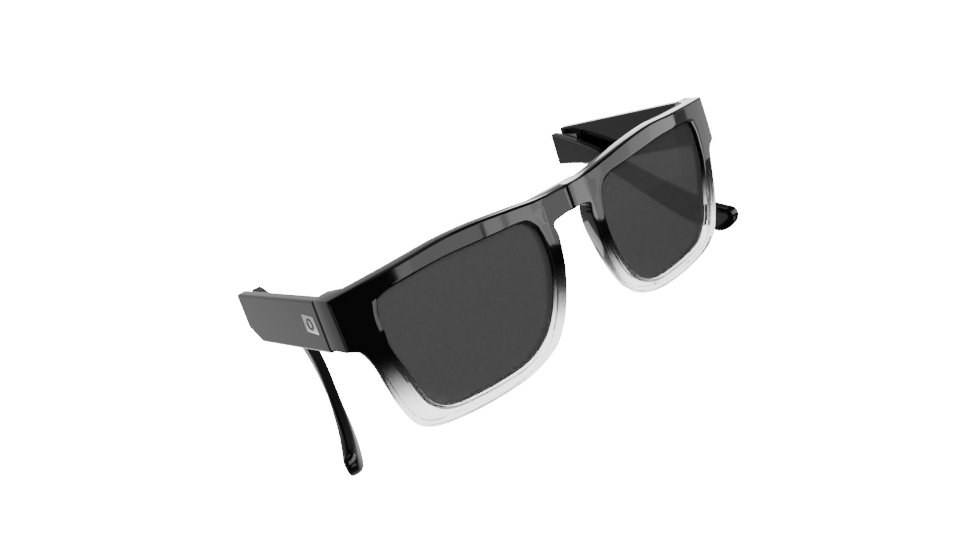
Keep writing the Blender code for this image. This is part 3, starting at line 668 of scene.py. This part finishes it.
def make_temple(word, side):
    """Front section of a temple, with its plaque."""
    lean = math.radians(TEMPLE_ANGLE)
    inner = TEMPLE_OUTER - TEMPLE_THICKNESS
    run, rise = TEMPLE_CHAMFER
    end_top = temple_edge(TEMPLE_END)
    side_outline = [
        (None, temple_edge(0.0)),
        (TEMPLE_END, end_top),
        (TEMPLE_END, end_top - TEMPLE_HEIGHT + rise),
        (TEMPLE_END - run, temple_edge(TEMPLE_END - run) - TEMPLE_HEIGHT),
        (None, temple_edge(0.0) - TEMPLE_HEIGHT),
    ]

    def place(along, height, out):
        """The front end is square to the face of the endpiece, not to the temple."""
        front_end = (RETURN_END_Y + GAP - TEMPLE_PIN[1] - out * math.sin(lean)) / math.cos(lean)
        return (out, front_end if along is None else along, height)

    bm = bmesh.new()
    add_prism(bm, side_outline, place, inner, TEMPLE_OUTER)
    bmesh.ops.bevel(bm, geom=bm.edges[:], offset=TEMPLE_ROUND, segments=4, profile=0.5, affect="EDGES")
    bmesh.ops.triangulate(bm, faces=[f for f in bm.faces if len(f.verts) > 4])
    face = TEMPLE_OUTER + PLAQUE_PROUD
    plaque_edge = temple_edge(5.0)
    plaque_z = (plaque_edge - PLAQUE_DROP[0], plaque_edge - PLAQUE_DROP[1])
    low, high = TEMPLE_HINGE_Z
    holes = bmesh.new()
    add_box(holes, (face - PLAQUE_DEPTH - GAP, PLAQUE_ALONG[0], plaque_z[0]),
            (face + 2.0, PLAQUE_ALONG[1], plaque_z[1]))
    add_round(holes, (0.0, 0.0), TEMPLE_CLEAR + 0.05, low - GAP, high + GAP, "z", 48)
    for b in REAR_SCREW_BS:
        deep = REAR_LEAF_FACE + SCREW[3] + GAP
        add_round(holes, (b, REAR_SCREW_Z), SCREW[2] + SCREW_CLEARANCE, 0.0, deep, "x")
    add_fold_room(holes, -1.0, FOLD_PIN)
    body = "temple_" + word
    there = temple_place(side)
    store("temple_shell_" + word, bm, there, body, BLACK, body, holes, 40.0, True)

    # Plaque: a thin plate with a plain ring on it.
    bm = bmesh.new()
    add_box(bm, (face - PLAQUE_DEPTH, PLAQUE_ALONG[0] + PLAQUE_GAP, plaque_z[0] + PLAQUE_GAP),
            (face, PLAQUE_ALONG[1] - PLAQUE_GAP, plaque_z[1] - PLAQUE_GAP))
    bmesh.ops.bevel(bm, geom=bm.edges[:], offset=PLAQUE_ROUND, segments=3, profile=0.5, affect="EDGES")
    store("plaque_plate_" + word, bm, there, body, PLAQUE, "plaque_" + word)
    centre = (0.5 * sum(PLAQUE_ALONG), 0.5 * sum(plaque_z))
    rings = []
    for i in range(RING_SIDES):
        turn = 2.0 * math.pi * i / RING_SIDES
        ring = []
        for radius, out in RING_SECTION:
            u = centre[0] + radius * math.cos(turn)
            v = centre[1] + radius * math.sin(turn)
            ring.append((face + out, u, v))
        rings.append(ring)
    bm = bmesh.new()
    add_tube(bm, rings, True)
    store("plaque_ring_" + word, bm, there, body, PLAQUE_DARK)


def make_tip(word, side):
    """Rear section of a temple: a narrow blade that drops, widens and curves round the head."""
    line = spline(TIP_LINE, False, 6)
    stations = [(b, c, w, 1.0) for b, c, w in line]
    along = (Vector(line[-1][:2]) - Vector(line[-2][:2])).normalized()
    last = line[-1]
    for i in range(1, 10):
        turn = 0.5 * math.pi * i / 9.6
        reach = TIP_END_ROUND * math.sin(turn)
        shrink = math.cos(turn)
        stations.append((last[0] + along.x * reach, last[1] + along.y * reach, last[2] * shrink,
                         0.5 + 0.5 * shrink))
    middle = TEMPLE_OUTER - FOLD_PIN[0] - 0.15 - TIP_THICKNESS / 2
    rings = []
    for i, (b, c, width, share) in enumerate(stations):
        ahead = stations[min(i + 1, len(stations) - 1)]
        behind = stations[max(i - 1, 0)]
        along = Vector((ahead[0] - behind[0], ahead[1] - behind[1])).normalized()
        if i == 0:
            along = Vector((1.0, 0.0))
        across = Vector((-along.y, along.x))
        swell = smoothstep(36.0, 52.0, b)
        thick = (TIP_THICKNESS + TIP_SWELL * swell) * share
        ring = []
        inner = middle + 0.5 * TIP_SWELL * swell
        for out, up in rounded_rectangle(thick / 2, width / 2, (0.55 + 1.1 * swell) * share, 6):
            flat = Vector((b, c)) + across * up
            bend = TIP_BEND * max(0.0, flat.x - TIP_BEND_START) ** 2
            ring.append((inner + out - bend, flat.x, flat.y))
        rings.append(ring)
    bm = bmesh.new()
    add_tube(bm, rings, False)
    holes = bmesh.new()
    add_fold_room(holes, 1.0, (0.0, 0.0))
    there = tip_place(side, FOLD_AT_REST[word])
    store("tip_blade_" + word, bm, there, "tip_" + word, BLACK,
          "temple_tip_" + word, holes, 40.0)


# ---------------------------------------------------------------- screws and hinge steel

def make_screw(name, seat, direction, sizes, there, body):
    """A pan-head screw with a six-lobed socket; seat is the middle of the head's underside."""
    head_r, head_h, shank_r, length = sizes
    along = Vector(direction)
    across = Vector((0.0, 0.0, 1.0))
    other = along.cross(across)
    socket = 0.46 * head_r
    # Along, radius and depth of the six lobes, from the socket's floor over the head to the shank's end.
    profile = [
        (-head_h * 0.35, socket * 0.3, 0.0),
        (-head_h * 0.35, socket * 0.85, 0.16),
        (-head_h * 0.95, socket, 0.16),
        (-head_h, socket * 1.12, 0.1),
        (-head_h * 0.97, head_r * 0.66, 0.0),
        (-head_h * 0.82, head_r * 0.85, 0.0),
        (-head_h * 0.5, head_r * 0.97, 0.0),
        (-head_h * 0.2, head_r, 0.0),
        (0.0, head_r * 0.98, 0.0),
        (0.0, shank_r, 0.0),
        (length - 0.2, shank_r, 0.0),
        (length, shank_r * 0.7, 0.0),
    ]
    rings = []
    for reach, radius, lobes in profile:
        ring = []
        for i in range(SCREW_SIDES):
            turn = 2.0 * math.pi * i / SCREW_SIDES
            r = radius * (1.0 + lobes * math.cos(6.0 * turn))
            spoke = across * r * math.cos(turn) + other * r * math.sin(turn)
            ring.append(Vector(seat) + along * reach + spoke)
        rings.append(ring)
    bm = bmesh.new()
    add_tube(bm, rings, False)
    store(name + "_head", bm, there, body, SCREW_STEEL, name)


def make_screws(word, side):
    at_front = front_place(side)
    at_temple = temple_place(side)
    at_tip = tip_place(side, FOLD_AT_REST[word])
    inwards = (0.0, -1.0, 0.0)
    outwards = (1.0, 0.0, 0.0)
    for label, x in zip(("inner", "outer"), BRIDGE_SCREW_XS):
        seat = (BRIDGE_PIN[0] + x, BRIDGE_PIN[1] - BRIDGE_LEAF_SEAT + HEAD_SINK, BRIDGE_SCREW_Z)
        make_screw("bridge_screw_%s_%s" % (label, word), seat, inwards, SCREW, at_front, "front_" + word)
    for label, z in zip(("lower", "upper"), FRONT_SCREW_ZS):
        seat = (FRONT_LEAF_FACE - HEAD_SINK, FRONT_SCREW_Y, z)
        make_screw("front_screw_%s_%s" % (label, word), seat, outwards, SCREW, at_front, "front_" + word)
    for label, b in zip(("front", "back"), REAR_SCREW_BS):
        seat = (REAR_LEAF_FACE - HEAD_SINK, b, REAR_SCREW_Z)
        make_screw("rear_screw_%s_%s" % (label, word), seat, outwards, SCREW, at_temple, "temple_" + word)
    fold_z = 0.5 * sum(FOLD_HINGE_Z)
    for label, reach in zip(("near", "far"), FOLD_SCREWS):
        seat = (FOLD_PIN[0] + FOLD_PLATE[0] - HEAD_SINK, FOLD_PIN[1] - reach, fold_z)
        make_screw("fold_screw_front_%s_%s" % (label, word), seat, outwards, SMALL_SCREW, at_temple,
                   "temple_" + word)
        seat = (FOLD_PLATE[0] - HEAD_SINK, reach, fold_z)
        make_screw("fold_screw_rear_%s_%s" % (label, word), seat, outwards, SMALL_SCREW, at_tip,
                   "tip_" + word)


def dress_steel():
    """Softened edges and brushed steel for the CAD's own leaves, link and pins."""
    for name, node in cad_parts.items():
        if "leaf" in name or "pin_" in name or name == "bridge_link":
            node.data.materials.clear()
            node.data.materials.append(STEEL)
            soft = node.modifiers.new("soft_edges", "BEVEL")
            soft.width = EDGE_SOFTENING
            soft.segments = 2
            soft.limit_method = "ANGLE"
            soft.angle_limit = math.radians(40.0)


for side_word, side_sign in (("left", 1.0), ("right", -1.0)):
    make_rim(side_word, side_sign)
    make_lens(side_word, side_sign)
    make_temple(side_word, side_sign)
    make_tip(side_word, side_sign)
    make_screws(side_word, side_sign)
dress_steel()


# ---------------------------------------------------------------- studio

def direction(azimuth, elevation):
    """Unit vector; azimuth 0 is in front of the glasses and grows towards the wearer's left."""
    azimuth, elevation = math.radians(azimuth), math.radians(elevation)
    return Vector((math.sin(azimuth) * math.cos(elevation), -math.cos(azimuth) * math.cos(elevation),
                   math.sin(elevation)))


def softbox(name, place, size, radiance, mirrored=True):
    """A soft light of that radiance that faces the object, seen in its gloss or else only lighting it.

    place is its azimuth, elevation and distance, and size its width and height.
    """
    azimuth, elevation, distance = place
    width, height = size
    data = bpy.data.lights.new(name, "AREA")
    data.shape = "RECTANGLE"
    data.size = width
    data.size_y = height
    data.energy = radiance * math.pi * width * height
    lamp = bpy.data.objects.new(name, data)
    bpy.context.collection.objects.link(lamp)
    towards = direction(azimuth, elevation)
    lamp.location = STUDIO_CENTRE + towards * distance
    lamp.rotation_euler = towards.to_track_quat("Z", "Y").to_euler()
    lamp.visible_camera = False
    lamp.visible_transmission = False
    lamp.visible_diffuse = not mirrored
    lamp.visible_glossy = mirrored


def emission_material(name, level):
    material = bpy.data.materials.new(name)
    material.use_nodes = True
    tree = material.node_tree
    tree.nodes.clear()
    glow = tree.nodes.new("ShaderNodeEmission")
    glow.inputs["Color"].default_value = (1.0, 1.0, 1.0, 1.0)
    glow.inputs["Strength"].default_value = level
    output = tree.nodes.new("ShaderNodeOutputMaterial")
    tree.links.new(glow.outputs["Emission"], output.inputs["Surface"])
    return material, tree, glow, output


def make_studio():
    """A pale floor and a pale backdrop all round, both seen directly and through the clear plastic."""
    bpy.ops.mesh.primitive_circle_add(vertices=96, radius=STUDIO_RADIUS, fill_type="NGON",
                                      location=(0.0, 0.0, FLOOR_Z - 0.0002))
    floor = bpy.context.object
    floor.name = "floor"
    material, tree, glow, output = emission_material("floor_pale", WHITE_LEVEL)
    matt = tree.nodes.new("ShaderNodeBsdfDiffuse")
    matt.inputs["Color"].default_value = (0.9, 0.9, 0.9, 1.0)
    both = tree.nodes.new("ShaderNodeAddShader")
    tree.links.new(glow.outputs["Emission"], both.inputs[0])
    tree.links.new(matt.outputs["BSDF"], both.inputs[1])
    tree.links.new(both.outputs["Shader"], output.inputs["Surface"])
    floor.data.materials.append(material)
    bpy.ops.mesh.primitive_uv_sphere_add(segments=64, ring_count=32, radius=STUDIO_RADIUS + 0.2,
                                         location=(0.0, 0.0, 0.0))
    dome = bpy.context.object
    dome.name = "backdrop"
    dome.data.materials.append(emission_material("backdrop_pale", WHITE_LEVEL)[0])
    for piece in (floor, dome):
        piece.visible_glossy = False
        piece.visible_diffuse = False
        piece.visible_shadow = False


def make_lights():
    world = bpy.data.worlds.new("studio")
    world.use_nodes = True
    tree = world.node_tree
    background = tree.nodes["Background"]
    way = tree.nodes.new("ShaderNodeTexCoord")
    split = tree.nodes.new("ShaderNodeSeparateXYZ")
    tree.links.new(way.outputs["Generated"], split.inputs[0])
    level = map_range(tree, split.outputs["Y"], -0.5, 0.7, 0.05, 0.8, True)
    tree.links.new(level, background.inputs["Strength"])
    background.inputs["Color"].default_value = (1.0, 1.0, 1.0, 1.0)
    bpy.context.scene.world = world
    for i, (left, right, radiance) in enumerate(FRONT_PANELS):
        width = 2.0 * PANEL_DISTANCE * math.tan(math.radians(right - left) / 2)
        place = (0.5 * (left + right), FRONT_PANEL_ELEVATION, PANEL_DISTANCE)
        softbox("front_panel_%d" % i, place, (width, FRONT_PANEL_HEIGHT), radiance)
    for name, azimuth, elevation, width, height, radiance in SIDE_PANELS:
        softbox(name, (azimuth, elevation, PANEL_DISTANCE), (width, height), radiance)
    name, azimuth, elevation, width, height, radiance = FILL
    softbox(name, (azimuth, elevation, FILL_DISTANCE), (width, height), radiance, False)


def make_camera():
    roll = math.radians(CAMERA_ROLL)
    back = direction(CAMERA_AZIMUTH, CAMERA_ELEVATION)
    right = Vector((0.0, 0.0, 1.0)).cross(back).normalized()
    up = back.cross(right)
    rolled_right = right * math.cos(roll) + up * math.sin(roll)
    rolled_up = up * math.cos(roll) - right * math.sin(roll)
    data = bpy.data.cameras.new("camera")
    data.lens = CAMERA_LENS
    data.sensor_width = 36.0
    data.clip_start = 0.01
    camera = bpy.data.objects.new("camera", data)
    bpy.context.collection.objects.link(camera)
    turn = Matrix((rolled_right, rolled_up, back)).transposed()
    camera.matrix_world = Matrix.Translation(CAMERA_AT) @ turn.to_4x4()
    bpy.context.scene.camera = camera


make_studio()
make_lights()
make_camera()
